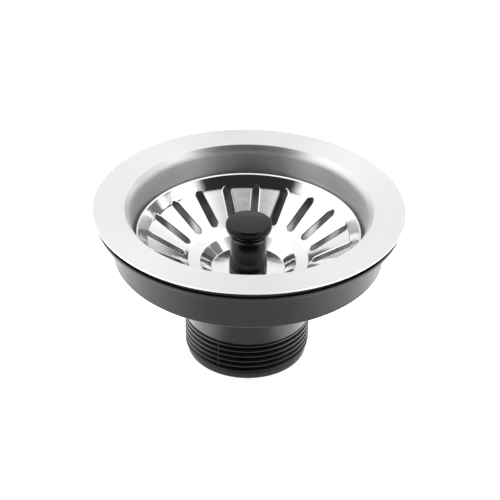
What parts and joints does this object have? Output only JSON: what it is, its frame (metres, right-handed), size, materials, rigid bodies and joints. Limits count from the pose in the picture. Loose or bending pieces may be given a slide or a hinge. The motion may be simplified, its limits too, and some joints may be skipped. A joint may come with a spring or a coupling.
{
  "type": "basket strainer waste",
  "caption": "Kitchen sink basket strainer waste: steel flange and dish, lift-out slotted basket with a knob, and a moulded drain body with a threaded outlet.",
  "frame": {"origin": "centre of the outlet's lower end face", "axes": "+Z along the waste's axis, up out of the sink; X and Y lie in the plane of the sink"},
  "size_m": [0.114, 0.114, 0.0634],
  "materials": {
    "body_plastic": "satin moulded",
    "brass": "turned",
    "gasket_rubber": "matt",
    "gasket_foam": "matt foam",
    "satin_steel": "satin, brushed round the axis",
    "screw_steel": "plain bright",
    "stopper_plastic": "satin moulded",
    "seal_rubber": "smooth",
    "washer_plastic": "plain",
    "polished_steel": "mirror polished",
    "knob_plastic": "satin gloss moulded"
  },
  "bodies": {
    "root": {"drain_body": "body_plastic", "insert_nut": "brass", "lower_gasket": "gasket_rubber"},
    "dish": {"strainer_dish": "satin_steel", "upper_gasket": "gasket_foam", "screw_seal": "gasket_rubber"},
    "screw": {"clamp_screw": "screw_steel"},
    "stopper": {"stopper_plate": "stopper_plastic", "stopper_seal": "seal_rubber"},
    "basket": {"swivel_washer": "washer_plastic", "strainer_basket": "polished_steel", "knob": "knob_plastic", "knob_screw": "screw_steel"}
  },
  "joints": [
    {"name": "clamp_open", "type": "slide", "parent": "root", "child": "dish", "axis": [0, 0, 1], "range_m": [0, 0.006]},
    {"name": "screw_turn", "type": "hinge", "parent": "dish", "child": "screw", "pos_m": [0, 0, 0.027], "axis": [0, 0, 1], "range_deg": [0, 2160]},
    {"name": "basket_lift", "type": "slide", "parent": "dish", "child": "stopper", "axis": [0, 0, 1], "range_m": [0, 0.045]},
    {"name": "basket_turn", "type": "hinge", "parent": "stopper", "child": "basket", "pos_m": [0, 0, 0.036], "axis": [0, 0, 1], "continuous": true}
  ],
  "couplings": [
    {"joint": "screw_turn", "follows": "clamp_open", "rad_per_m": 6283.2}
  ]
}
